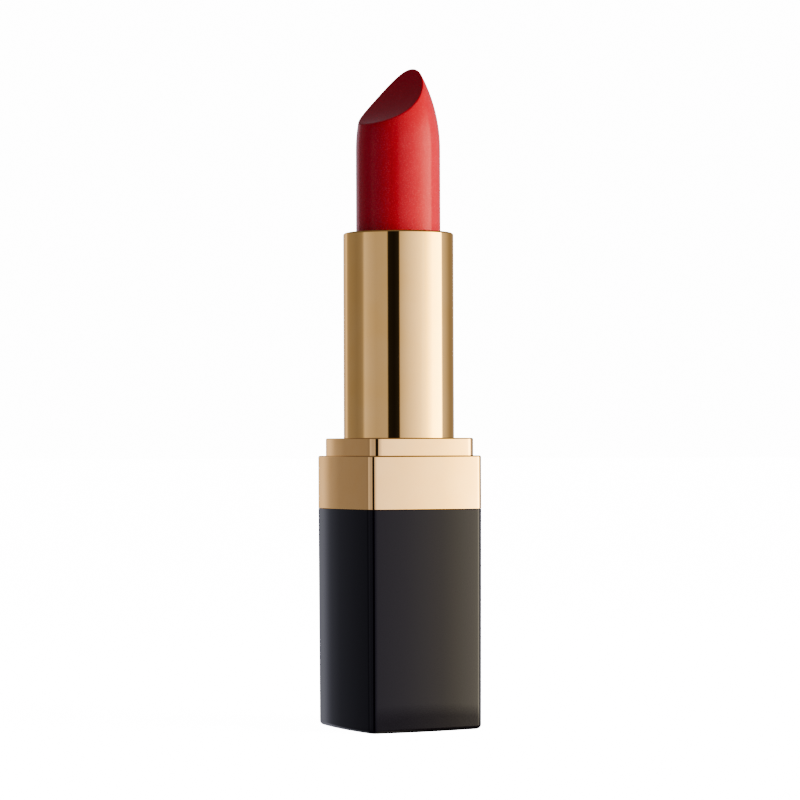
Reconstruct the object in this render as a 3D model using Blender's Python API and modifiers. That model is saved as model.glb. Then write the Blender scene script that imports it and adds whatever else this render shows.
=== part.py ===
"""Twist-up lipstick case: a bowed square base, a round metal tube and a slant-cut bullet.

Metres, +Z up. The origin is the centre of the base's underside and the front face looks
towards -Y. The bullet stands fully raised. Turning the tube about +Z draws it back down:
two lugs on the bullet's cup pass through upright slots in a fixed tube and ride in helical
slots of a sleeve that turns with the metal tube.

Run with: blender --background --python part.py
"""

import math

import bmesh
import bpy
from mathutils import Matrix, Vector

MM = 0.001

# Outlines of the square pieces: (side, corner radius). The sides bow outwards.
BASE_OUTLINE = (17.74 * MM, 1.30 * MM)
STEP_OUTLINE = (16.24 * MM, 1.80 * MM)
WEIGHT_OUTLINE = (14.40 * MM, 1.00 * MM)
BOW_SHARE = 0.0371  # a side's bulge, as a share of its length
BASE_DRAFT = 0.12 * MM  # each side leans in by this much towards the foot
SKIRT_INSET = 0.22 * MM  # of the skirt, inside the step's outline
ARC_SEGMENTS = 8
CORNER_SEGMENTS = 6
EDGE_SEGMENTS = 4

# Heights of what shows, from the foot up.
BASE_TOP = 31.10 * MM
BAND_TOP = 38.75 * MM
STEP_TOP = 41.25 * MM
TUBE_TOP = 70.58 * MM

# Radii of the nested round pieces, from the bullet outwards.
BULLET_RADIUS = 6.05 * MM
BULLET_ROOT_RADIUS = 5.95 * MM
CUP_BORE = 6.12 * MM
CUP_RADIUS = 6.45 * MM
GUIDE_BORE = 6.55 * MM
GUIDE_RADIUS = 7.00 * MM
SPIRAL_BORE = 7.08 * MM
SPIRAL_RADIUS = 7.53 * MM
TUBE_BORE = 7.58 * MM
TUBE_RADIUS = 7.90 * MM
COLLAR_BORE = 8.02 * MM

# The twist drive.
PITCH = 20.0 * MM  # rise of the helical slots in one turn
TRAVEL = 25.0 * MM
LUG_RADIUS = 0.85 * MM
LUG_REACH = 7.40 * MM
LUG_HEIGHT = 61.60 * MM  # of the lugs' axis, with the bullet raised
SLOT_RADIUS = 1.05 * MM

# The bullet's nose is an arc turned about the axis, scooped out by a level cylinder.
NOSE_START = 82.60 * MM
NOSE_ARC = 22.99 * MM
SCOOP_RADIUS = 16.05 * MM
SCOOP_SETBACK = 12.25 * MM
SCOOP_HEIGHT = 100.43 * MM
SCOOP_HEADING = math.radians(17.2)  # the cut climbs this way, measured from +X towards +Y

BASE_WALL = 0.85 * MM
BAND_WALL = 0.65 * MM
SEAM = 0.10 * MM  # left between pieces that meet
TURN_STEPS = 64
SMOOTH_ANGLE = math.radians(30)

SCENE_NAME = "lipstick_case"


# ---------------------------------------------------------------- scene and materials


def clear_scene():
    for obj in list(bpy.data.objects):
        bpy.data.objects.remove(obj)


def new_collection(name):
    collection = bpy.data.collections.new(name)
    bpy.context.scene.collection.children.link(collection)
    return collection


def new_material(name, colour, roughness, metallic=0.0):
    material = bpy.data.materials.new(name)
    material.use_nodes = True
    shader = material.node_tree.nodes["Principled BSDF"]
    shader.inputs["Base Color"].default_value = (*colour, 1.0)
    shader.inputs["Roughness"].default_value = roughness
    shader.inputs["Metallic"].default_value = metallic
    return material


def new_axis(name, parts):
    """An empty on the turning axis, which the pieces of one moving body are parented to."""
    axis = bpy.data.objects.new(name, None)
    axis.empty_display_size = TUBE_TOP / 4
    parts.objects.link(axis)
    return axis


# ---------------------------------------------------------------- modelling helpers


def add_mesh(name, mesh, collection, material=None, axis=None):
    obj = bpy.data.objects.new(name, mesh)
    collection.objects.link(obj)
    if material:
        mesh.materials.append(material)
    obj.parent = axis
    return obj


def as_cutter(obj):
    obj.hide_render = True
    obj.display_type = "WIRE"
    return obj


def bowed_square(outline, inset, z):
    """Points at height z round a bowed square, drawn inside its outline by an inset."""
    side, corner_radius = outline[0] - 2 * inset, outline[1] - inset
    half = side / 2
    bulge = BOW_SHARE * side
    arc = (half**2 + bulge**2) / (2 * bulge)
    arc_centre = arc - half - bulge
    # The corner's centre lies on the diagonal, one corner radius inside both arcs.
    spread = (arc - corner_radius) ** 2
    corner = (math.sqrt(2 * spread - arc_centre**2) - arc_centre) / 2
    turn = math.atan2(corner, arc_centre + corner)
    edge = []
    for i in range(ARC_SEGMENTS + 1):
        angle = turn * (2 * i / ARC_SEGMENTS - 1)
        edge.append(Vector((arc * math.sin(angle), arc_centre - arc * math.cos(angle), z)))
    for i in range(1, CORNER_SEGMENTS):
        angle = turn - math.pi / 2 + i / CORNER_SEGMENTS * (math.pi / 2 - 2 * turn)
        edge.append(
            Vector(
                (
                    corner + corner_radius * math.cos(angle),
                    corner_radius * math.sin(angle) - corner,
                    z,
                )
            )
        )
    quarters = [Matrix.Rotation(i * math.pi / 2, 3, "Z") for i in range(4)]
    return [quarter @ point for quarter in quarters for point in edge]


def foot_edge(z, radius, inset=0.0):
    """(height, inset) levels that round a bowed square's lower edge."""
    turns = [i / EDGE_SEGMENTS * math.pi / 2 for i in range(EDGE_SEGMENTS + 1)]
    return [
        (z + radius * (1 - math.cos(turn)), inset + radius * (1 - math.sin(turn)))
        for turn in turns
    ]


def top_edge(z, radius, inset=0.0):
    """(height, inset) levels that round a bowed square's upper edge."""
    return [(2 * z - level, depth) for level, depth in reversed(foot_edge(z, radius, inset))]


def bowed_mesh(name, outline, levels):
    """A closed bowed square, raised through (height, inset) levels by extruding its foot."""
    body = bmesh.new()
    (foot_z, foot_inset), *rest = levels
    foot_points = bowed_square(outline, foot_inset, foot_z)
    foot = body.faces.new([body.verts.new(point) for point in foot_points])
    top = foot
    for z, inset in rest:
        made = bmesh.ops.extrude_discrete_faces(body, faces=[top])["faces"][0]
        if top is foot:
            corners = [body.verts.new(v.co) for v in made.verts]
            foot = body.faces.new(list(reversed(corners)))
        for vert, place in zip(made.verts, bowed_square(outline, inset, z)):
            vert.co = place
        top = made
    bmesh.ops.remove_doubles(body, verts=body.verts, dist=MM / 1000)
    bmesh.ops.recalc_face_normals(body, faces=body.faces)
    mesh = bpy.data.meshes.new(name)
    body.to_mesh(mesh)
    body.free()
    mesh.shade_smooth()
    mesh.set_sharp_from_angle(angle=SMOOTH_ANGLE)
    return mesh


def turned(name, profile, collection, material=None, axis=None, closed=True):
    """Turns (radius, height) points about Z. The points run down the outer side."""
    count = len(profile)
    edges = [(i, i + 1) for i in range(count - 1)]
    if closed:
        edges.append((count - 1, 0))
    mesh = bpy.data.meshes.new(name)
    mesh.from_pydata([(radius, 0, z) for radius, z in profile], edges, [])
    obj = add_mesh(name, mesh, collection, material, axis)
    screw = obj.modifiers.new("Turn", "SCREW")
    screw.steps = screw.render_steps = TURN_STEPS
    screw.use_merge_vertices = True
    screw.merge_threshold = MM / 1000
    screw.use_smooth_shade = True
    return obj


def cylinder(name, radius, low, high, collection, segments=TURN_STEPS):
    """An upright cylinder on the axis between two heights."""
    body = bmesh.new()
    bmesh.ops.create_cone(
        body,
        cap_ends=True,
        segments=segments,
        radius1=radius,
        radius2=radius,
        depth=high - low,
        matrix=Matrix.Translation((0, 0, (low + high) / 2)),
    )
    mesh = bpy.data.meshes.new(name)
    body.to_mesh(mesh)
    body.free()
    return add_mesh(name, mesh, collection)


def box(name, size, centre, collection, heading=0.0):
    """A box turned about Z by its heading after it is placed."""
    body = bmesh.new()
    place = Matrix.Rotation(heading, 4, "Z") @ Matrix.Translation(centre)
    bmesh.ops.create_cube(body, size=1.0, matrix=place @ Matrix.Diagonal((*size, 1.0)))
    mesh = bpy.data.meshes.new(name)
    body.to_mesh(mesh)
    body.free()
    return add_mesh(name, mesh, collection)


def add_boolean(obj, other, operation):
    modifier = obj.modifiers.new(f"{operation.title()} {other.name}", "BOOLEAN")
    modifier.operation = operation
    modifier.solver = "EXACT"
    modifier.object = as_cutter(other)


# ---------------------------------------------------------------- pieces of the base

BASE_FOOT_EDGE = 0.60 * MM
SEAM_EDGE = 0.10 * MM  # rounding on both sides of the seam between base and band
BAND_TOP_EDGE = 0.18 * MM
STEP_TOP_EDGE = 0.15 * MM
LABEL_RADIUS = 6.00 * MM
LABEL_RECESS_RADIUS = 6.25 * MM
LABEL_RECESS = 0.30 * MM
BAND_FOOT = BASE_TOP + SEAM
PAD_THICKNESS = 0.40 * MM
WEIGHT_HEIGHT = 6.50 * MM
WEIGHT_EDGE = 0.40 * MM

SKIRT_FOOT = 24.00 * MM
SKIRT_SHOULDER = BASE_TOP + SEAM
WEB_TOP = 32.80 * MM
SOCKET_RADIUS = 7.12 * MM
POCKET_RADIUS = 0.85 * MM
POCKET_OFFSET = 9.05 * MM
POCKET_TOP = 30.50 * MM
KEY_COUNT = 4
KEY_WIDTH = 1.20 * MM
KEY_REACH = 7.50 * MM
KEYWAY_WIDTH = 1.50 * MM
KEYWAY_REACH = 7.65 * MM


def make_base_shell(parts, cutters, axis, finish):
    """The outer base: a cup open at the top, with a shallow recess under its floor."""
    levels = foot_edge(0.0, BASE_FOOT_EDGE, BASE_DRAFT) + top_edge(BASE_TOP, SEAM_EDGE)
    mesh = bowed_mesh("outer_base_shell", BASE_OUTLINE, levels)
    shell = add_mesh("outer_base_shell", mesh, parts, finish, axis)
    hollow_levels = [(BASE_WALL, BASE_DRAFT + BASE_WALL), (BASE_TOP + MM, BASE_WALL)]
    hollow_mesh = bowed_mesh("base_hollow", BASE_OUTLINE, hollow_levels)
    hollow = add_mesh("base_hollow", hollow_mesh, cutters)
    add_boolean(shell, hollow, "DIFFERENCE")
    recess = cylinder("label_recess", LABEL_RECESS_RADIUS, -MM, LABEL_RECESS, cutters)
    add_boolean(shell, recess, "DIFFERENCE")
    return shell


def make_decor_band(parts, cutters, axis, finish):
    """The square band above the base. A cap's rim rests on its top face."""
    levels = foot_edge(BAND_FOOT, SEAM_EDGE) + top_edge(BAND_TOP, BAND_TOP_EDGE)
    mesh = bowed_mesh("decor_band", BASE_OUTLINE, levels)
    band = add_mesh("decor_band", mesh, parts, finish, axis)
    hollow_levels = [(BAND_FOOT - MM, BAND_WALL), (BAND_TOP + MM, BAND_WALL)]
    hollow_mesh = bowed_mesh("band_hollow", BASE_OUTLINE, hollow_levels)
    hollow = add_mesh("band_hollow", hollow_mesh, cutters)
    add_boolean(band, hollow, "DIFFERENCE")
    return band


def make_inner_base(parts, cutters, axis, finish):
    """Shows as the step inside the band. Its skirt plugs the base and holds the drive."""
    levels = [
        (SKIRT_FOOT, SKIRT_INSET),
        (SKIRT_SHOULDER, SKIRT_INSET),
        (SKIRT_SHOULDER + SEAM, 0.0),
        *top_edge(STEP_TOP, STEP_TOP_EDGE),
    ]
    mesh = bowed_mesh("inner_base", STEP_OUTLINE, levels)
    inner = add_mesh("inner_base", mesh, parts, finish, axis)
    bore = cylinder("tube_bore", COLLAR_BORE, WEB_TOP, STEP_TOP + MM, cutters)
    socket = cylinder("guide_socket", SOCKET_RADIUS, SKIRT_FOOT - MM, WEB_TOP + MM, cutters)
    add_boolean(inner, bore, "DIFFERENCE")
    add_boolean(inner, socket, "DIFFERENCE")
    for i in range(KEY_COUNT):
        heading = math.radians(45) + i * math.tau / KEY_COUNT
        keyway = box(
            f"keyway_{i}",
            (KEYWAY_REACH, KEYWAY_WIDTH, WEB_TOP - SKIRT_FOOT + 2 * MM),
            (KEYWAY_REACH / 2, 0, (WEB_TOP + SKIRT_FOOT) / 2),
            cutters,
            heading,
        )
        add_boolean(inner, keyway, "DIFFERENCE")
        pocket = cylinder(
            f"pocket_{i}", POCKET_RADIUS, SKIRT_FOOT - MM, POCKET_TOP, cutters, segments=16
        )
        pocket.location = (
            POCKET_OFFSET * math.cos(heading),
            POCKET_OFFSET * math.sin(heading),
            0,
        )
        add_boolean(inner, pocket, "DIFFERENCE")
    return inner


def make_weight_pad(parts, axis, finish):
    low = BASE_WALL + SEAM
    levels = [(low, 0.0), (low + PAD_THICKNESS, 0.0)]
    mesh = bowed_mesh("weight_pad", WEIGHT_OUTLINE, levels)
    return add_mesh("weight_pad", mesh, parts, finish, axis)


def make_base_weight(parts, axis, finish):
    low = BASE_WALL + PAD_THICKNESS + 2 * SEAM
    levels = foot_edge(low, WEIGHT_EDGE) + top_edge(low + WEIGHT_HEIGHT, WEIGHT_EDGE)
    mesh = bowed_mesh("base_weight", WEIGHT_OUTLINE, levels)
    return add_mesh("base_weight", mesh, parts, finish, axis)


def make_shade_label(parts, axis, finish):
    label = cylinder("shade_label", LABEL_RADIUS, SEAM, LABEL_RECESS - SEAM / 2, parts)
    label.data.materials.append(finish)
    label.parent = axis
    return label


# ---------------------------------------------------------------- the fixed guide tube

GUIDE_FOOT = 25.00 * MM
GUIDE_FLOOR = 1.00 * MM
FLANGE_LOW = 33.00 * MM
FLANGE_TOP = 33.80 * MM
FLANGE_RADIUS = 7.75 * MM
GUIDE_TOP = 69.60 * MM
GUIDE_LIP_RADIUS = 7.45 * MM
GUIDE_LIP = 0.50 * MM
GUIDE_SLOT_WIDTH = 2.00 * MM
SLOT_END_ROOM = 1.10 * MM
RING_SECTION = 0.22 * MM
RING_SIDES = 10
LOWER_RING = 34.27 * MM
UPPER_RING = 68.65 * MM


def make_slotted_tube(parts, cutters, axis, finish):
    """The fixed guide: it stops the cup from turning, so the cup can only climb."""
    profile = [
        (0.0, GUIDE_FOOT + GUIDE_FLOOR),
        (GUIDE_BORE, GUIDE_FOOT + GUIDE_FLOOR),
        (GUIDE_BORE, GUIDE_TOP),
        (GUIDE_LIP_RADIUS, GUIDE_TOP),
        (GUIDE_LIP_RADIUS, GUIDE_TOP - GUIDE_LIP),
        (GUIDE_RADIUS, GUIDE_TOP - GUIDE_LIP),
        (GUIDE_RADIUS, FLANGE_TOP),
        (FLANGE_RADIUS, FLANGE_TOP),
        (FLANGE_RADIUS, FLANGE_LOW),
        (GUIDE_RADIUS, FLANGE_LOW),
        (GUIDE_RADIUS, GUIDE_FOOT),
        (0.0, GUIDE_FOOT),
    ]
    guide = turned("slotted_tube", profile, parts, finish, axis, closed=False)
    key_low = GUIDE_FOOT + SEAM
    key_high = WEB_TOP - SEAM
    key_root = GUIDE_RADIUS - GUIDE_BORE
    for i in range(KEY_COUNT):
        key = box(
            f"guide_key_{i}",
            (KEY_REACH - GUIDE_RADIUS + key_root / 2, KEY_WIDTH, key_high - key_low),
            ((KEY_REACH + GUIDE_RADIUS - key_root / 2) / 2, 0, (key_low + key_high) / 2),
            cutters,
            math.radians(45) + i * math.tau / KEY_COUNT,
        )
        add_boolean(guide, key, "UNION")
    low = LUG_HEIGHT - TRAVEL - SLOT_END_ROOM
    high = LUG_HEIGHT + SLOT_END_ROOM
    slot = box(
        "guide_slots",
        (GUIDE_SLOT_WIDTH, 4 * GUIDE_RADIUS, high - low),
        (0, 0, (low + high) / 2),
        cutters,
    )
    add_boolean(guide, slot, "DIFFERENCE")
    return guide


def make_brake_ring(name, height, parts, axis, finish):
    """A silicone ring round the guide, which gives the twist its drag."""
    centre = GUIDE_RADIUS + SEAM / 2 + RING_SECTION
    profile = []
    for i in range(RING_SIDES):
        angle = -math.tau * i / RING_SIDES
        profile.append(
            (centre + RING_SECTION * math.cos(angle), height + RING_SECTION * math.sin(angle))
        )
    return turned(name, profile, parts, finish, axis)


# ---------------------------------------------------------------- the turning tube

SPIRAL_LOW = 34.75 * MM
SPIRAL_TOP = 68.20 * MM
TUBE_LOW = 34.00 * MM
TUBE_MOUTH = 6.65 * MM
TUBE_LIP = 0.60 * MM
TUBE_EDGE = 0.30 * MM
HELIX_STEPS_PER_TURN = 48


def make_outer_tube(parts, axis, finish):
    """The metal tube. Its top edge rolls inwards over the ends of the drive."""
    rolled = []
    for i in range(EDGE_SEGMENTS + 1):
        angle = math.pi / 2 * (1 - i / EDGE_SEGMENTS)
        rolled.append(
            (
                TUBE_RADIUS - TUBE_EDGE + TUBE_EDGE * math.cos(angle),
                TUBE_TOP - TUBE_EDGE + TUBE_EDGE * math.sin(angle),
            )
        )
    profile = [
        *rolled,
        (TUBE_RADIUS, TUBE_LOW),
        (TUBE_BORE, TUBE_LOW),
        (TUBE_BORE, TUBE_TOP - TUBE_LIP),
        (TUBE_MOUTH, TUBE_TOP - TUBE_LIP),
        (TUBE_MOUTH, TUBE_TOP),
    ]
    return turned("outer_tube", profile, parts, finish, axis)


def helix_cutter(name, azimuth, cutters):
    """A round bar along one lug's path over the whole travel, a little longer at each end."""
    radius = (SPIRAL_BORE + SPIRAL_RADIUS) / 2
    rise = PITCH / math.tau
    overrun = SLOT_RADIUS / math.hypot(radius, rise)
    start = -TRAVEL / rise - overrun
    count = math.ceil((overrun - start) / math.tau * HELIX_STEPS_PER_TURN)
    curve = bpy.data.curves.new(name, "CURVE")
    curve.dimensions = "3D"
    curve.twist_mode = "Z_UP"
    curve.bevel_depth = SLOT_RADIUS
    curve.bevel_resolution = 3
    curve.use_fill_caps = True
    spline = curve.splines.new("POLY")
    spline.points.add(count)
    for i, point in enumerate(spline.points):
        angle = start + (overrun - start) * i / count
        point.co = (
            radius * math.cos(azimuth + angle),
            radius * math.sin(azimuth + angle),
            LUG_HEIGHT + rise * angle,
            1.0,
        )
    bar = bpy.data.objects.new(name, curve)
    cutters.objects.link(bar)
    bpy.context.view_layer.update()
    graph = bpy.context.evaluated_depsgraph_get()
    mesh = bpy.data.meshes.new_from_object(bar.evaluated_get(graph))
    bpy.data.objects.remove(bar)
    body = bmesh.new()
    body.from_mesh(mesh)
    bmesh.ops.remove_doubles(body, verts=body.verts, dist=MM / 1000)
    bmesh.ops.recalc_face_normals(body, faces=body.faces)
    body.to_mesh(mesh)
    body.free()
    return add_mesh(name, mesh, cutters)


def make_spiral_sleeve(parts, cutters, axis, finish):
    """Pressed into the metal tube. Its two helical slots drive the cup's lugs."""
    profile = [
        (SPIRAL_RADIUS, SPIRAL_TOP),
        (SPIRAL_RADIUS, SPIRAL_LOW),
        (SPIRAL_BORE, SPIRAL_LOW),
        (SPIRAL_BORE, SPIRAL_TOP),
    ]
    sleeve = turned("spiral_sleeve", profile, parts, finish, axis)
    for i, azimuth in enumerate((math.pi / 2, -math.pi / 2)):
        add_boolean(sleeve, helix_cutter(f"helix_{i}", azimuth, cutters), "DIFFERENCE")
    return sleeve


# ---------------------------------------------------------------- the climbing cup

CUP_LOW = 60.00 * MM
CUP_FLOOR = 0.80 * MM
CUP_TOP = 69.60 * MM
VENT_RADIUS = 1.20 * MM
NOSE_SEGMENTS = 12
SCOOP_SEGMENTS = 128


def make_bullet_cup(parts, cutters, axis, finish):
    """Holds the bullet's root. Two lugs near its foot reach out to the helical slots."""
    profile = [
        (CUP_RADIUS, CUP_TOP),
        (CUP_RADIUS, CUP_LOW),
        (VENT_RADIUS, CUP_LOW),
        (VENT_RADIUS, CUP_LOW + CUP_FLOOR),
        (CUP_BORE, CUP_LOW + CUP_FLOOR),
        (CUP_BORE, CUP_TOP),
    ]
    cup = turned("bullet_cup", profile, parts, finish, axis)
    root = (CUP_BORE + CUP_RADIUS) / 2
    for i, side in enumerate((1, -1)):
        lug = cylinder(f"lug_{i}", LUG_RADIUS, root, LUG_REACH, cutters, segments=20)
        lug.rotation_euler = (-side * math.pi / 2, 0, 0)
        lug.location = (0, 0, LUG_HEIGHT)
        add_boolean(cup, lug, "UNION")
    return cup


def nose_radius(z):
    """The nose's radius at height z, above where the arc starts."""
    return BULLET_RADIUS - NOSE_ARC + math.sqrt(NOSE_ARC**2 - (z - NOSE_START) ** 2)


def make_bullet(parts, cutters, axis, finish):
    """The colour stick: a round bar with an arched nose and one hollow slanting face."""
    point = math.sqrt(NOSE_ARC**2 - (NOSE_ARC - BULLET_RADIUS) ** 2)
    nose = []
    for i in range(1, NOSE_SEGMENTS + 1):
        z = NOSE_START + point * (1 - i / NOSE_SEGMENTS)
        nose.append((nose_radius(z), z))
    profile = [
        (0.0, NOSE_START + point),
        *nose,
        (BULLET_RADIUS, CUP_TOP + 2 * SEAM),
        (BULLET_ROOT_RADIUS, CUP_TOP - SEAM),
        (BULLET_ROOT_RADIUS, CUP_LOW + CUP_FLOOR + SEAM),
        (0.0, CUP_LOW + CUP_FLOOR + SEAM),
    ]
    bullet = turned("lipstick_bullet", profile, parts, finish, axis, closed=False)
    scoop = cylinder(
        "scoop", SCOOP_RADIUS, -2 * BULLET_RADIUS, 2 * BULLET_RADIUS, cutters, SCOOP_SEGMENTS
    )
    level = Matrix.Rotation(math.pi / 2, 4, "X")
    place = Matrix.Translation((-SCOOP_SETBACK, 0, SCOOP_HEIGHT))
    scoop.matrix_world = Matrix.Rotation(SCOOP_HEADING, 4, "Z") @ place @ level
    add_boolean(bullet, scoop, "DIFFERENCE")
    return bullet


# ---------------------------------------------------------------- assembly


def main():
    clear_scene()
    parts = new_collection(SCENE_NAME)
    cutters = new_collection("cutters")

    smoked = new_material("smoked_plastic", (0.012, 0.011, 0.013), 0.08)
    gilt = new_material("gilt_plastic", (0.93, 0.60, 0.28), 0.12, 1.0)
    gold = new_material("gold_aluminium", (0.93, 0.60, 0.28), 0.08, 1.0)
    nylon = new_material("natural_nylon", (0.80, 0.79, 0.75), 0.45)
    silicone = new_material("silicone", (0.62, 0.63, 0.64), 0.55)
    steel = new_material("steel", (0.45, 0.45, 0.46), 0.35, 1.0)
    foam = new_material("foam", (0.85, 0.85, 0.82), 0.9)
    paper = new_material("label_film", (0.78, 0.77, 0.76), 0.5)
    wax = new_material("red_wax", (0.52, 0.012, 0.016), 0.32)

    base_axis = new_axis("base_axis", parts)
    twist_axis = new_axis("twist_axis", parts)
    climb_axis = new_axis("climb_axis", parts)

    make_base_shell(parts, cutters, base_axis, smoked)
    make_decor_band(parts, cutters, base_axis, gilt)
    make_inner_base(parts, cutters, base_axis, gilt)
    make_weight_pad(parts, base_axis, foam)
    make_base_weight(parts, base_axis, steel)
    make_shade_label(parts, base_axis, paper)
    make_slotted_tube(parts, cutters, base_axis, nylon)
    make_brake_ring("lower_brake_ring", LOWER_RING, parts, base_axis, silicone)
    make_brake_ring("upper_brake_ring", UPPER_RING, parts, base_axis, silicone)

    make_outer_tube(parts, twist_axis, gold)
    make_spiral_sleeve(parts, cutters, twist_axis, nylon)

    make_bullet_cup(parts, cutters, climb_axis, nylon)
    make_bullet(parts, cutters, climb_axis, wax)


main()
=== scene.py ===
"""Looks of the twist-up lipstick case: finer meshes, finishes, studio and camera.

Finer meshes stand for the five CAD pieces that show, and the inner pieces keep their CAD
meshes with new finishes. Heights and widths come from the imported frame's boxes.
"""

import math

import bmesh
import bpy
from mathutils import Matrix, Vector


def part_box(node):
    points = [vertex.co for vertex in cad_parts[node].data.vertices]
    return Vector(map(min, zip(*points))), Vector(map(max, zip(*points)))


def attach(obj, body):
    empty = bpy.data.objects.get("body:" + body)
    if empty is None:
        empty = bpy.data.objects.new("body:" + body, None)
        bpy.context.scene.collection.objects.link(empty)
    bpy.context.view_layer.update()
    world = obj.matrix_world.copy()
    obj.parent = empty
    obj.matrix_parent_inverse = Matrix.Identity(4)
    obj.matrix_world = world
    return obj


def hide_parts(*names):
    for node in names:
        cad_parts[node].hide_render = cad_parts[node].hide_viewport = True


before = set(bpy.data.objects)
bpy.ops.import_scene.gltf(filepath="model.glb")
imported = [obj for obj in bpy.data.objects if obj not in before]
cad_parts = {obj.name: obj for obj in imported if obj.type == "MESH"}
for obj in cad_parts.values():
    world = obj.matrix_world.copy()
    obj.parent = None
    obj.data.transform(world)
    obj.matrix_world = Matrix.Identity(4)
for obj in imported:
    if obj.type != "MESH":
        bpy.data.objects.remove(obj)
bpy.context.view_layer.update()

MM = 0.001
QUARTER_TURN = math.pi / 2

# Outlines of the square pieces: a side's bulge as a share of its length, and corners.
BOW_SHARE = 0.0371
BASE_CORNER = 1.30 * MM
STEP_CORNER = 1.80 * MM
ARC_SEGMENTS = 28
CORNER_SEGMENTS = 16
EDGE_SEGMENTS = 6
TURN_SEGMENTS = 192

# Edges and walls of the square pieces.
BASE_DRAFT = 0.12 * MM
FOOT_EDGE = 0.60 * MM
SEAM_EDGE = 0.06 * MM
BAND_TOP_EDGE = 0.22 * MM
STEP_TOP_EDGE = 0.20 * MM
INNER_EDGE = 0.12 * MM
SEAM_GAP = 0.02 * MM
SHELL_WALL = 0.85 * MM
BAND_WALL = 0.65 * MM
SKIRT_INSET = 0.22 * MM
LABEL_RECESS_RADIUS = 6.25 * MM
LABEL_RECESS = 0.30 * MM
LABEL_RECESS_EDGE = 0.08 * MM


# ------------------------------------------------------------------ measures from the frame


def half_width(node):
    low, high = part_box(node)
    return (high.x - low.x) / 2


def side_of(half):
    """The corner-to-corner side of a bowed square that is this half width across."""
    return half / (0.5 + BOW_SHARE)


SHELL_LOW, SHELL_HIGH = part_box("outer_base_shell")
BAND_LOW, BAND_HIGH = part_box("decor_band")
STEP_LOW, STEP_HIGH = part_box("inner_base")
TUBE_LOW, TUBE_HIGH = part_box("outer_tube")
BULLET_LOW, BULLET_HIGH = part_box("lipstick_bullet")
CUP_LOW, CUP_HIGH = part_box("bullet_cup")

BASE_OUTLINE = (side_of(half_width("outer_base_shell")), BASE_CORNER)
STEP_OUTLINE = (side_of(half_width("inner_base")), STEP_CORNER)
TUBE_RADIUS = half_width("outer_tube")
BULLET_RADIUS = half_width("lipstick_bullet")


# ------------------------------------------------------------------ outlines and lofts


def bowed_square(outline, inset, z):
    """Points at height z round a bowed square, drawn inside its outline by an inset."""
    side, corner_radius = outline[0] - 2 * inset, outline[1] - inset
    half = side / 2
    bulge = BOW_SHARE * side
    arc = (half**2 + bulge**2) / (2 * bulge)
    arc_centre = arc - half - bulge
    spread = (arc - corner_radius) ** 2
    corner = (math.sqrt(2 * spread - arc_centre**2) - arc_centre) / 2
    turn = math.atan2(corner, arc_centre + corner)
    edge = []
    for i in range(ARC_SEGMENTS + 1):
        angle = turn * (2 * i / ARC_SEGMENTS - 1)
        edge.append(Vector((arc * math.sin(angle), arc_centre - arc * math.cos(angle), z)))
    for i in range(1, CORNER_SEGMENTS):
        angle = turn - QUARTER_TURN + i / CORNER_SEGMENTS * (QUARTER_TURN - 2 * turn)
        x = corner + corner_radius * math.cos(angle)
        y = corner_radius * math.sin(angle) - corner
        edge.append(Vector((x, y, z)))
    quarters = [Matrix.Rotation(i * QUARTER_TURN, 3, "Z") for i in range(4)]
    return [quarter @ point for quarter in quarters for point in edge]


SQUARE_HEADINGS = [math.atan2(p.y, p.x) for p in bowed_square(BASE_OUTLINE, 0.0, 0.0)]


def matched_circle(radius, z):
    """A circle with as many points as a bowed square, each on the same heading."""
    return [Vector((radius * math.cos(a), radius * math.sin(a), z)) for a in SQUARE_HEADINGS]


def circle(radius, z):
    angles = [math.tau * i / TURN_SEGMENTS for i in range(TURN_SEGMENTS)]
    return [Vector((radius * math.cos(a), radius * math.sin(a), z)) for a in angles]


def foot_edge(z, radius, inset=0.0):
    """(inset, height) levels that round a lower edge, from underneath to the side."""
    levels = []
    for i in range(EDGE_SEGMENTS + 1):
        turn = i / EDGE_SEGMENTS * QUARTER_TURN
        levels.append((inset + radius * (1 - math.sin(turn)), z + radius * (1 - math.cos(turn))))
    return levels


def top_edge(z, radius, inset=0.0):
    """(inset, height) levels that round an upper edge, from the side to the top."""
    return [(depth, 2 * z - level) for depth, level in reversed(foot_edge(z, radius, inset))]


def square_rings(outline, levels):
    return [bowed_square(outline, inset, z) for inset, z in levels]


def lofted(name, rings, closed):
    """Bridges rings of equal count. A closed loft joins its last ring to the first."""
    body = bmesh.new()
    rows = [[body.verts.new(point) for point in ring] for ring in rings]
    count = len(rings[0])
    pairs = list(zip(rows, rows[1:]))
    if closed:
        pairs.append((rows[-1], rows[0]))
    for lower, upper in pairs:
        for i in range(count):
            j = (i + 1) % count
            body.faces.new((lower[i], lower[j], upper[j], upper[i]))
    if not closed:
        body.faces.new(reversed(rows[0]))
        body.faces.new(rows[-1])
    bmesh.ops.recalc_face_normals(body, faces=body.faces)
    mesh = bpy.data.meshes.new(name)
    body.to_mesh(mesh)
    body.free()
    return mesh


def new_piece(name, mesh, material, body, slot, *nodes, smooth_angle=35):
    """Adds a mesh as a piece that rides on a body and stands for CAD nodes."""
    piece = bpy.data.objects.new(name, mesh)
    bpy.context.scene.collection.objects.link(piece)
    mesh.materials.append(material)
    mesh.shade_smooth()
    mesh.set_sharp_from_angle(angle=math.radians(smooth_angle))
    normals = piece.modifiers.new("Face weighted normals", "WEIGHTED_NORMAL")
    normals.keep_sharp = True
    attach(piece, body)
    if nodes:
        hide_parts(*nodes)
    return piece


# ------------------------------------------------------------------ shader helpers


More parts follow.
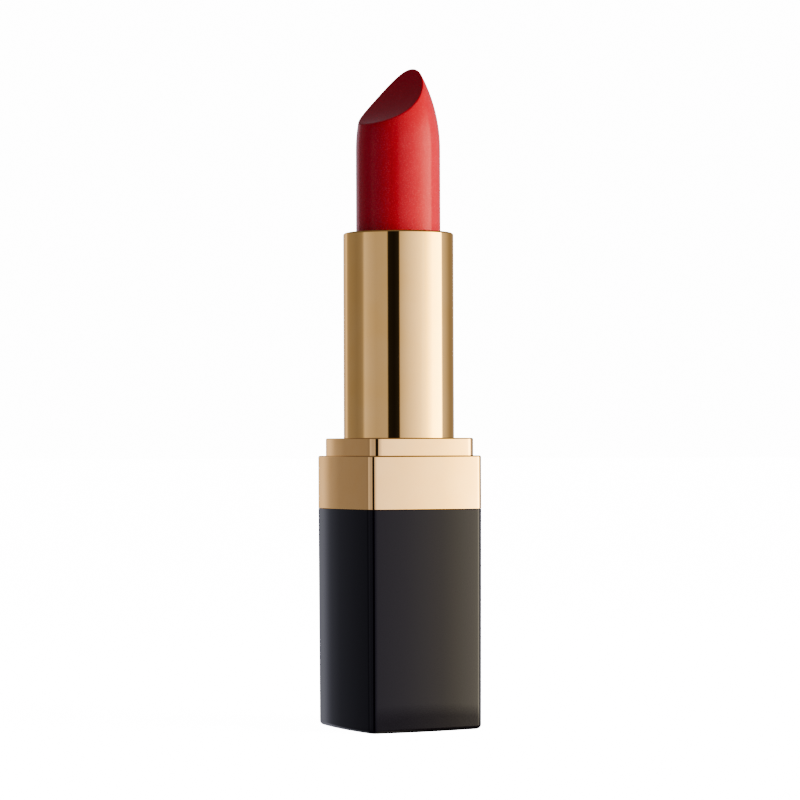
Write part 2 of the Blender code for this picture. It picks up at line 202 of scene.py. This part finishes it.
def add_node(tree, kind, inputs=(), **settings):
    """Adds a node. Each input is a value, or another node's output to link."""
    made = tree.nodes.new(kind)
    for key, value in settings.items():
        setattr(made, key, value)
    for key, value in dict(inputs).items():
        if isinstance(value, bpy.types.NodeSocket):
            tree.links.new(value, made.inputs[key])
        else:
            made.inputs[key].default_value = value
    return made


class Finish:
    """A material with its Principled shader and short calls that add nodes."""

    def __init__(self, name, colour, roughness, metallic=0.0):
        self.material = bpy.data.materials.new(name)
        self.material.use_nodes = True
        self.tree = self.material.node_tree
        self.shader = self.tree.nodes["Principled BSDF"]
        self.set("Base Color", (*colour, 1.0))
        self.set("Roughness", roughness)
        self.set("Metallic", metallic)
        self.place = self.tree.nodes.new("ShaderNodeTexCoord").outputs["Object"]

    def set(self, socket, value):
        self.shader.inputs[socket].default_value = value

    def link(self, output, socket):
        self.tree.links.new(output, self.shader.inputs[socket])

    def node(self, kind, inputs=(), **settings):
        return add_node(self.tree, kind, inputs, **settings)

    def stretched(self, x, y, z):
        """Object coordinates scaled along each axis."""
        return self.node("ShaderNodeMapping", {"Vector": self.place, "Scale": (x, y, z)}).outputs[0]

    def noise(self, scale, detail=3.0, place=None):
        inputs = {"Vector": place or self.place, "Scale": scale, "Detail": detail}
        return self.node("ShaderNodeTexNoise", inputs).outputs["Fac"]

    def remap(self, value, low, high, to_low, to_high):
        inputs = {"Value": value, 1: low, 2: high, 3: to_low, 4: to_high}
        return self.node("ShaderNodeMapRange", inputs).outputs[0]

    def mix(self, factor, first, second):
        """Blends two colours. Either may be a node's output."""
        inputs = {0: factor, 6: first, 7: second}
        for index in (6, 7):
            if not isinstance(inputs[index], bpy.types.NodeSocket):
                inputs[index] = (*inputs[index], 1.0)
        return self.node("ShaderNodeMix", inputs, data_type="RGBA").outputs[2]

    def math(self, operation, first, second=0.0):
        return self.node("ShaderNodeMath", {0: first, 1: second}, operation=operation).outputs[0]

    def bump(self, height, strength, distance, normal=None):
        inputs = {"Height": height, "Strength": strength, "Distance": distance}
        if normal:
            inputs["Normal"] = normal
        return self.node("ShaderNodeBump", inputs).outputs[0]

    def edges(self, start, end):
        """0 on flats and 1 on sharp convex edges, from the shape itself."""
        pointiness = self.node("ShaderNodeNewGeometry").outputs["Pointiness"]
        return self.remap(pointiness, start, end, 0.0, 1.0)


# ------------------------------------------------------------------ finishes


def gold_finish(name, colour, worn, roughness):
    """Mirror-bright gold: faint drawing lines, handling haze and paler worn edges."""
    gold = Finish(name, colour, roughness, 1.0)
    gold.set("Specular Tint", (0.96, 0.82, 0.64, 1.0))
    haze = gold.noise(260.0, 4.0)
    drawn = gold.noise(1.0, 2.0, gold.stretched(9000.0, 9000.0, 260.0))
    edge = gold.edges(0.53, 0.60)
    tone = gold.mix(gold.remap(haze, 0.35, 0.65, 0.0, 0.35), colour, worn)
    gold.link(gold.mix(gold.math("MULTIPLY", edge, 0.45), tone, worn), "Base Color")
    polish = gold.remap(haze, 0.3, 0.7, roughness * 0.75, roughness * 1.35)
    gold.link(gold.math("ADD", polish, gold.math("MULTIPLY", edge, 0.05)), "Roughness")
    gold.link(gold.bump(drawn, 0.03, 0.00001), "Normal")
    return gold.material


def smoked_finish():
    """Glossy smoked-black moulding with faint flow marks and softly rubbed edges."""
    smoke = Finish("smoked_black_plastic", (0.010, 0.009, 0.010), 0.07)
    smoke.set("IOR", 1.47)
    flow = smoke.noise(90.0, 4.0, smoke.stretched(1.0, 1.0, 0.35))
    edge = smoke.edges(0.53, 0.62)
    depth = smoke.mix(flow, (0.0072, 0.0036, 0.0094), (0.0100, 0.0052, 0.0126))
    rubbed = smoke.math("MULTIPLY", edge, 0.3)
    smoke.link(smoke.mix(rubbed, depth, (0.012, 0.011, 0.012)), "Base Color")
    smoke.link(smoke.remap(smoke.noise(420.0, 5.0), 0.3, 0.7, 0.03, 0.06), "Roughness")
    smoke.link(smoke.bump(smoke.noise(160.0, 2.0), 0.04, 0.00002), "Normal")
    return smoke.material


def wax_finish():
    """Satin red colour stick with a fine pearl shimmer and faint mould rings."""
    wax = Finish("red_wax", (0.56, 0.045, 0.050), 0.15)
    wax.set("Specular IOR Level", 0.25)
    wax.set("Specular Tint", (1.0, 0.86, 0.84, 1.0))
    wax.set("Subsurface Weight", 0.10)
    wax.set("Subsurface Radius", (1.0, 0.10, 0.08))
    wax.set("Subsurface Scale", 0.0010)
    cells = wax.node("ShaderNodeTexVoronoi", {"Vector": wax.place, "Scale": 9500.0})
    flake = wax.node("ShaderNodeSeparateColor", {"Color": cells.outputs["Color"]}).outputs[0]
    pearl = wax.remap(flake, 0.72, 1.0, 0.0, 1.0)
    cloud = wax.noise(420.0, 3.0)
    tone = wax.mix(cloud, (0.53, 0.042, 0.047), (0.59, 0.048, 0.053))
    wax.link(wax.mix(wax.math("MULTIPLY", pearl, 0.22), tone, (0.76, 0.13, 0.12)), "Base Color")
    rings = wax.noise(1.0, 3.0, wax.stretched(500.0, 500.0, 5200.0))
    grain = wax.noise(5200.0, 2.0)
    wax.link(wax.remap(grain, 0.3, 0.7, 0.11, 0.19), "Roughness")
    first = wax.bump(rings, 0.06, 0.00003)
    wax.link(wax.bump(grain, 0.12, 0.00003, first), "Normal")
    return wax.material


def moulded_finish(name, dark, light, roughness, scale=700.0):
    """A plain moulded or pressed material with slight colour and gloss variation."""
    made = Finish(name, light, roughness)
    cloud = made.noise(scale * 0.3, 3.0)
    grain = made.noise(scale * 6, 3.0)
    made.link(made.mix(cloud, dark, light), "Base Color")
    made.link(made.remap(grain, 0.3, 0.7, roughness * 0.85, roughness * 1.15), "Roughness")
    made.link(made.bump(grain, 0.2, 0.00002), "Normal")
    return made.material


def steel_finish():
    steel = Finish("tumbled_steel", (0.46, 0.46, 0.47), 0.34, 1.0)
    scuffs = steel.noise(1.0, 4.0, steel.stretched(700.0, 2600.0, 700.0))
    steel.link(steel.mix(scuffs, (0.36, 0.36, 0.37), (0.56, 0.56, 0.57)), "Base Color")
    steel.link(steel.remap(scuffs, 0.3, 0.7, 0.26, 0.44), "Roughness")
    steel.link(steel.bump(scuffs, 0.2, 0.00003), "Normal")
    return steel.material


# ------------------------------------------------------------------ square pieces


def make_base_shell(finish):
    top = BAND_LOW.z - SEAM_GAP
    rings = [
        matched_circle(LABEL_RECESS_RADIUS, LABEL_RECESS),
        matched_circle(LABEL_RECESS_RADIUS, LABEL_RECESS_EDGE),
        matched_circle(LABEL_RECESS_RADIUS + LABEL_RECESS_EDGE, 0.0),
    ]
    levels = foot_edge(0.0, FOOT_EDGE, BASE_DRAFT) + top_edge(top, SEAM_EDGE)
    levels += [(SHELL_WALL, top), (BASE_DRAFT + SHELL_WALL, SHELL_WALL)]
    rings += square_rings(BASE_OUTLINE, levels)
    mesh = lofted("base_shell", rings, closed=False)
    return new_piece("base_shell", mesh, finish, "base", "smoked_plastic", "outer_base_shell")


def make_band(finish):
    low, high = BAND_LOW.z, BAND_HIGH.z
    levels = foot_edge(low, SEAM_EDGE) + top_edge(high, BAND_TOP_EDGE)
    levels += [(BAND_WALL, high), (BAND_WALL, low)]
    mesh = lofted("gold_band", square_rings(BASE_OUTLINE, levels), closed=True)
    return new_piece("gold_band", mesh, finish, "base", "gilt_plastic", "decor_band")


COLLAR_BORE = 8.02 * MM
SOCKET_RADIUS = 7.12 * MM
SHOULDER = 0.10 * MM
WEB_TOP = 32.80 * MM


def make_step(finish):
    """The step inside the band, with its bore and the skirt that plugs the base."""
    low, high = STEP_LOW.z, STEP_HIGH.z
    shoulder = BAND_LOW.z
    levels = [(SKIRT_INSET, low), (SKIRT_INSET, shoulder), (0.0, shoulder + SHOULDER)]
    levels += top_edge(high, STEP_TOP_EDGE)
    rings = square_rings(STEP_OUTLINE, levels)
    for i in range(EDGE_SEGMENTS + 1):
        turn = i / EDGE_SEGMENTS * QUARTER_TURN
        radius = COLLAR_BORE + INNER_EDGE * (1 - math.sin(turn))
        rings.append(matched_circle(radius, high - INNER_EDGE * (1 - math.cos(turn))))
    rings.append(matched_circle(COLLAR_BORE, WEB_TOP))
    rings.append(matched_circle(SOCKET_RADIUS, WEB_TOP))
    rings.append(matched_circle(SOCKET_RADIUS, low))
    mesh = lofted("gold_step", rings, closed=True)
    return new_piece("gold_step", mesh, finish, "base", "gilt_plastic", "inner_base")


# ------------------------------------------------------------------ round pieces

TUBE_BORE = 7.58 * MM
TUBE_MOUTH = 6.65 * MM
TUBE_ROLL = 0.30 * MM
TUBE_LIP = 0.60 * MM


def make_tube(finish):
    """The metal tube, with a rolled top edge and a turned-in mouth."""
    low, high = TUBE_LOW.z, TUBE_HIGH.z
    profile = [(TUBE_BORE, low), (TUBE_RADIUS - INNER_EDGE, low), (TUBE_RADIUS, low + INNER_EDGE)]
    for i in range(2 * EDGE_SEGMENTS + 1):
        turn = i / (2 * EDGE_SEGMENTS) * QUARTER_TURN
        radius = TUBE_RADIUS - TUBE_ROLL * (1 - math.cos(turn))
        profile.append((radius, high - TUBE_ROLL * (1 - math.sin(turn))))
    for i in range(EDGE_SEGMENTS + 1):
        turn = i / EDGE_SEGMENTS * QUARTER_TURN
        radius = TUBE_MOUTH + INNER_EDGE * (1 - math.sin(turn))
        profile.append((radius, high - INNER_EDGE * (1 - math.cos(turn))))
    profile += [(TUBE_MOUTH, high - TUBE_LIP), (TUBE_BORE, high - TUBE_LIP)]
    mesh = lofted("gold_tube", [circle(radius, z) for radius, z in profile], closed=True)
    return new_piece("gold_tube", mesh, finish, "twist_tube", "gold_aluminium", "outer_tube")


NOSE_START = 82.60 * MM
NOSE_ARC = 22.99 * MM
SCOOP_RADIUS = 16.05 * MM
SCOOP_SETBACK = 12.25 * MM
SCOOP_HEIGHT = 100.59 * MM
SCOOP_HEADING = math.radians(17.2)
BULLET_ROOT = 5.95 * MM
ROOT_EDGE = 0.30 * MM
ROOT_CLEARANCE = 0.10 * MM
SIDE_START = 0.20 * MM
CUT_EDGE = 0.28 * MM
BULLET_LEVELS = 44
SCOOP_LEVELS = 26
CUT_EDGE_LEVELS = 8


def nose_radius(z):
    if z <= NOSE_START:
        return BULLET_RADIUS
    return BULLET_RADIUS - NOSE_ARC + math.sqrt(NOSE_ARC**2 - (z - NOSE_START) ** 2)


def scoop_height(radius, heading):
    """Height of the hollow cut at a distance from the axis, on a heading."""
    climb = radius * math.cos(heading - SCOOP_HEADING)
    return SCOOP_HEIGHT - math.sqrt(max(0.0, SCOOP_RADIUS**2 - (climb + SCOOP_SETBACK) ** 2))


def cut_level(heading):
    """Height at which the side of the bullet meets the cut, found by halving."""
    low, high = NOSE_START - 2 * MM, NOSE_START + 14 * MM
    for _ in range(50):
        middle = (low + high) / 2
        if scoop_height(nose_radius(middle), heading) > middle:
            low = middle
        else:
            high = middle
    return low


def bullet_side(heading):
    """Points up one side of the bullet and in along the cut, with the rim rounded."""
    level = cut_level(heading)
    rim = Vector((nose_radius(level), level))
    side = []
    start = CUP_HIGH.z + SIDE_START
    for i in range(BULLET_LEVELS + 1):
        z = start + (level - CUT_EDGE - start) * i / BULLET_LEVELS
        side.append(Vector((nose_radius(z), z)))
    cut = []
    for i in range(SCOOP_LEVELS):
        radius = (rim.x - CUT_EDGE) * (1 - i / SCOOP_LEVELS)
        cut.append(Vector((radius, scoop_height(radius, heading))))
    rounded = []
    for i in range(1, CUT_EDGE_LEVELS):
        t = i / CUT_EDGE_LEVELS
        rounded.append(side[-1] * (1 - t) ** 2 + rim * (2 * t * (1 - t)) + cut[0] * t**2)
    return side + rounded + cut


def make_bullet(finish):
    """The bullet: a narrower root in the cup, the arched side, and the hollow cut."""
    low = BULLET_LOW.z
    columns = []
    for i in range(TURN_SEGMENTS):
        heading = math.tau * i / TURN_SEGMENTS
        profile = [
            Vector((BULLET_ROOT - ROOT_EDGE, low)),
            Vector((BULLET_ROOT, low + ROOT_EDGE)),
            Vector((BULLET_ROOT, CUP_HIGH.z - ROOT_CLEARANCE)),
            *bullet_side(heading),
        ]
        columns.append([(p.x * math.cos(heading), p.x * math.sin(heading), p.y) for p in profile])
    body = bmesh.new()
    grid = [[body.verts.new(p) for p in column] for column in columns]
    rows = len(grid[0])
    for i, column in enumerate(grid):
        following = grid[(i + 1) % TURN_SEGMENTS]
        for j in range(rows - 1):
            body.faces.new((column[j], following[j], following[j + 1], column[j + 1]))
    centre = body.verts.new((0.0, 0.0, scoop_height(0.0, 0.0)))
    for i, column in enumerate(grid):
        body.faces.new((column[-1], grid[(i + 1) % TURN_SEGMENTS][-1], centre))
    body.faces.new([column[0] for column in reversed(grid)])
    bmesh.ops.recalc_face_normals(body, faces=body.faces)
    mesh = bpy.data.meshes.new("red_bullet")
    body.to_mesh(mesh)
    body.free()
    return new_piece(
        "red_bullet",
        mesh,
        finish,
        "bullet_carrier",
        "red_wax",
        "lipstick_bullet",
        smooth_angle=60,
    )


# ------------------------------------------------------------------ stage, light and camera

VIEW_AZIMUTH = math.radians(-26.5)
CAMERA_DISTANCE = 422 * MM
CAMERA_HEIGHT = 39.7 * MM
AIM_HEIGHT = 46.7 * MM
AIM_SIDE = 0.17 * MM
LENS = 132.6
ROLL = math.radians(-0.19)


def camera_frame(point):
    """A point given as right, away and up from the object's foot, seen from the camera."""
    return Matrix.Rotation(VIEW_AZIMUTH, 3, "Z") @ Vector(point)


def make_camera():
    data = bpy.data.cameras.new("camera")
    data.lens = LENS
    data.clip_start = 0.01
    data.clip_end = 20.0
    camera = bpy.data.objects.new("camera", data)
    bpy.context.scene.collection.objects.link(camera)
    place = camera_frame((0.0, -CAMERA_DISTANCE, CAMERA_HEIGHT))
    aim = camera_frame((AIM_SIDE, 0.0, AIM_HEIGHT)) - place
    turn = aim.to_track_quat("-Z", "Y").to_matrix().to_4x4()
    camera.matrix_world = Matrix.Translation(place) @ turn @ Matrix.Rotation(ROLL, 4, "Z")
    bpy.context.scene.camera = camera


# The studio's brightness at eye level: (degrees to the right of the camera, level).
STUDIO = [
    (-180, 0.62),
    (-153, 0.56),
    (-140, 0.82),
    (-134.5, 0.42),
    (-128, 0.315),
    (-98, 0.257),
    (-87, 0.28),
    (-81, 0.33),
    (-75, 0.61),
    (-62, 0.515),
    (-48, 0.452),
    (-23.5, 0.47),
    (-21, 0.036),
    (-9, 0.026),
    (1, 0.045),
    (3, 0.56),
    (18, 0.81),
    (35, 1.12),
    (46, 1.42),
    (57.7, 1.97),
    (68, 3.0),
    (76, 4.2),
    (98, 5.0),
    (100.5, 4.6),
    (104, 0.72),
    (115.6, 0.54),
    (124, 0.432),
    (134, 0.325),
    (148, 0.31),
    (165, 0.49),
    (180, 0.62),
]
STUDIO_PEAK = 5.0
FILL_TINT = (1.0, 1.01, 1.17, 1.0)
KEY_TINT = (1.0, 0.93, 0.73, 1.0)
WARM_FROM = 0.4
WARM_FULL = 2.4
CEILING_LEVEL = 0.17
CEILING_START = 0.14
CEILING_FULL = 0.50
BACKDROP = 4.2


def make_studio():
    """Soft light by heading, warmer where bright, dim overhead, before a white backdrop."""
    world = bpy.data.worlds.new("studio")
    bpy.context.scene.world = world
    world.use_nodes = True
    tree = world.node_tree

    def add(kind, inputs=(), **settings):
        return add_node(tree, kind, inputs, **settings)

    direction = add("ShaderNodeTexCoord").outputs["Generated"]
    turned = add("ShaderNodeMapping", {"Vector": direction, "Rotation": (0, 0, -VIEW_AZIMUTH)})
    axes = add("ShaderNodeSeparateXYZ", {0: turned.outputs[0]}).outputs
    toward = add("ShaderNodeMath", {0: axes["Y"], 1: -1.0}, operation="MULTIPLY").outputs[0]
    heading = add("ShaderNodeMath", {0: axes["X"], 1: toward}, operation="ARCTAN2").outputs[0]
    inputs = {"Value": heading, "From Min": -math.pi, "From Max": math.pi}
    share = add("ShaderNodeMapRange", inputs).outputs[0]
    around = add("ShaderNodeValToRGB", {"Fac": share})
    stops = around.color_ramp.elements
    while len(stops) < len(STUDIO):
        stops.new(1.0)
    for stop, (degrees, level) in zip(stops, STUDIO):
        stop.position = (degrees + 180) / 360
        grey = level / STUDIO_PEAK
        stop.color = (grey, grey, grey, 1.0)
    scaled = {0: around.outputs[0], 1: STUDIO_PEAK}
    level = add("ShaderNodeMath", scaled, operation="MULTIPLY").outputs[0]
    climb = {"Value": axes["Z"], "From Min": CEILING_START, "From Max": CEILING_FULL}
    overhead = add("ShaderNodeMapRange", climb, interpolation_type="SMOOTHSTEP").outputs[0]
    light = add("ShaderNodeMix", {0: overhead, 2: level, 3: CEILING_LEVEL}).outputs[0]
    bright = {"Value": level, "From Min": WARM_FROM, "From Max": WARM_FULL}
    warmth = add("ShaderNodeMapRange", bright, interpolation_type="SMOOTHSTEP").outputs[0]
    tint = add("ShaderNodeMix", {0: warmth, 6: FILL_TINT, 7: KEY_TINT}, data_type="RGBA").outputs[2]
    lit = tree.nodes["Background"]
    tree.links.new(tint, lit.inputs["Color"])
    tree.links.new(light, lit.inputs["Strength"])
    white = add("ShaderNodeBackground", {"Color": (1.0, 1.0, 1.0, 1.0), "Strength": BACKDROP})
    seen = add("ShaderNodeLightPath").outputs["Is Camera Ray"]
    both = add("ShaderNodeMixShader", {0: seen, 1: lit.outputs[0], 2: white.outputs[0]})
    tree.links.new(both.outputs[0], tree.nodes["World Output"].inputs["Surface"])


KEY_HEADING = math.radians(66)
KEY_CLIMB = math.radians(13)
KEY_REACH = 300 * MM
KEY_AIM = 78 * MM
KEY_WIDTH = 220 * MM
KEY_HEIGHT = 70 * MM
KEY_POWER = 0.78


def make_key():
    """A softbox on the right that brightens the wax. Reflections don't show it."""
    data = bpy.data.lights.new("key", "AREA")
    data.shape = "RECTANGLE"
    data.size = KEY_WIDTH
    data.size_y = KEY_HEIGHT
    data.energy = KEY_POWER
    key = bpy.data.objects.new("key", data)
    bpy.context.scene.collection.objects.link(key)
    level = math.cos(KEY_CLIMB)
    side, toward = level * math.sin(KEY_HEADING), level * math.cos(KEY_HEADING)
    reach = camera_frame((side, -toward, math.sin(KEY_CLIMB))) * KEY_REACH
    key.location = reach + Vector((0.0, 0.0, KEY_AIM))
    key.rotation_euler = (-reach).to_track_quat("-Z", "Y").to_euler()
    key.visible_camera = False
    key.visible_glossy = False


FLOOR_RADIUS = 12.0
FLOOR_DROP = 0.04 * MM
STAND_CORE = 12 * MM
STAND_RADIUS = 31 * MM
STAND_SHIFT = (16 * MM, -12 * MM, -0.02 * MM)


def flat_disc(name, radius, z, material):
    body = bmesh.new()
    bmesh.ops.create_circle(body, cap_ends=True, segments=96, radius=radius)
    mesh = bpy.data.meshes.new(name)
    body.to_mesh(mesh)
    body.free()
    mesh.materials.append(material)
    disc = bpy.data.objects.new(name, mesh)
    bpy.context.scene.collection.objects.link(disc)
    disc.location.z = z
    return disc


def make_floor():
    """A pale floor as bright as the backdrop. The studio lights the object from below too."""
    paper = Finish("pale_floor", (0.85, 0.85, 0.85), 0.9)
    paper.set("Specular IOR Level", 0.0)
    paper.set("Emission Color", (1.0, 1.0, 1.0, 1.0))
    seen = paper.node("ShaderNodeLightPath").outputs["Is Camera Ray"]
    paper.link(paper.math("MULTIPLY", seen, BACKDROP), "Emission Strength")
    floor = flat_disc("floor", FLOOR_RADIUS, -FLOOR_DROP, paper.material)
    floor.visible_glossy = False
    floor.visible_diffuse = False


def make_stand():
    """A satin plate that fades out round the base's right foot, seen only in reflections."""
    plate = Finish("satin_stand", (0.55, 0.55, 0.55), 0.26, 1.0)
    reach = plate.node("ShaderNodeVectorMath", {0: plate.place}, operation="LENGTH")
    fade = plate.remap(reach.outputs["Value"], STAND_CORE, STAND_RADIUS, 0.95, 0.0)
    plate.link(fade, "Alpha")
    stand = flat_disc("stand", STAND_RADIUS, 0.0, plate.material)
    stand.location = camera_frame(STAND_SHIFT)
    stand.visible_camera = False
    stand.visible_diffuse = False
    stand.visible_shadow = False


# ------------------------------------------------------------------ assembly

TUBE_GOLD = (0.93, 0.595, 0.238)
TUBE_WORN = (0.94, 0.64, 0.30)
BAND_GOLD = (0.93, 0.60, 0.275)
BAND_WORN = (0.94, 0.65, 0.34)


def main():
    tube_gold = gold_finish("polished_gold_aluminium", TUBE_GOLD, TUBE_WORN, 0.035)
    band_gold = gold_finish("gilt_moulding", BAND_GOLD, BAND_WORN, 0.05)
    nylon = moulded_finish("natural_nylon", (0.72, 0.71, 0.66), (0.82, 0.81, 0.77), 0.42)
    silicone = moulded_finish("grey_silicone", (0.52, 0.53, 0.54), (0.66, 0.67, 0.68), 0.55)
    foam = moulded_finish("foam_pad", (0.76, 0.76, 0.72), (0.88, 0.88, 0.85), 0.92)
    label = moulded_finish("blank_label_film", (0.74, 0.73, 0.72), (0.81, 0.80, 0.79), 0.38, 300.0)

    make_base_shell(smoked_finish())
    make_band(band_gold)
    make_step(band_gold)
    make_tube(tube_gold)
    make_bullet(wax_finish())

    kept = {
        "slotted_tube": nylon,
        "spiral_sleeve": nylon,
        "bullet_cup": nylon,
        "lower_brake_ring": silicone,
        "upper_brake_ring": silicone,
        "weight_pad": foam,
        "base_weight": steel_finish(),
        "shade_label": label,
    }
    for node, material in kept.items():
        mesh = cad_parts[node].data
        mesh.materials.clear()
        mesh.materials.append(material)

    make_studio()
    make_key()
    make_floor()
    make_stand()
    make_camera()
    bpy.context.scene.view_settings.view_transform = "AgX"
    bpy.context.scene.view_settings.look = "AgX - High Contrast"


main()
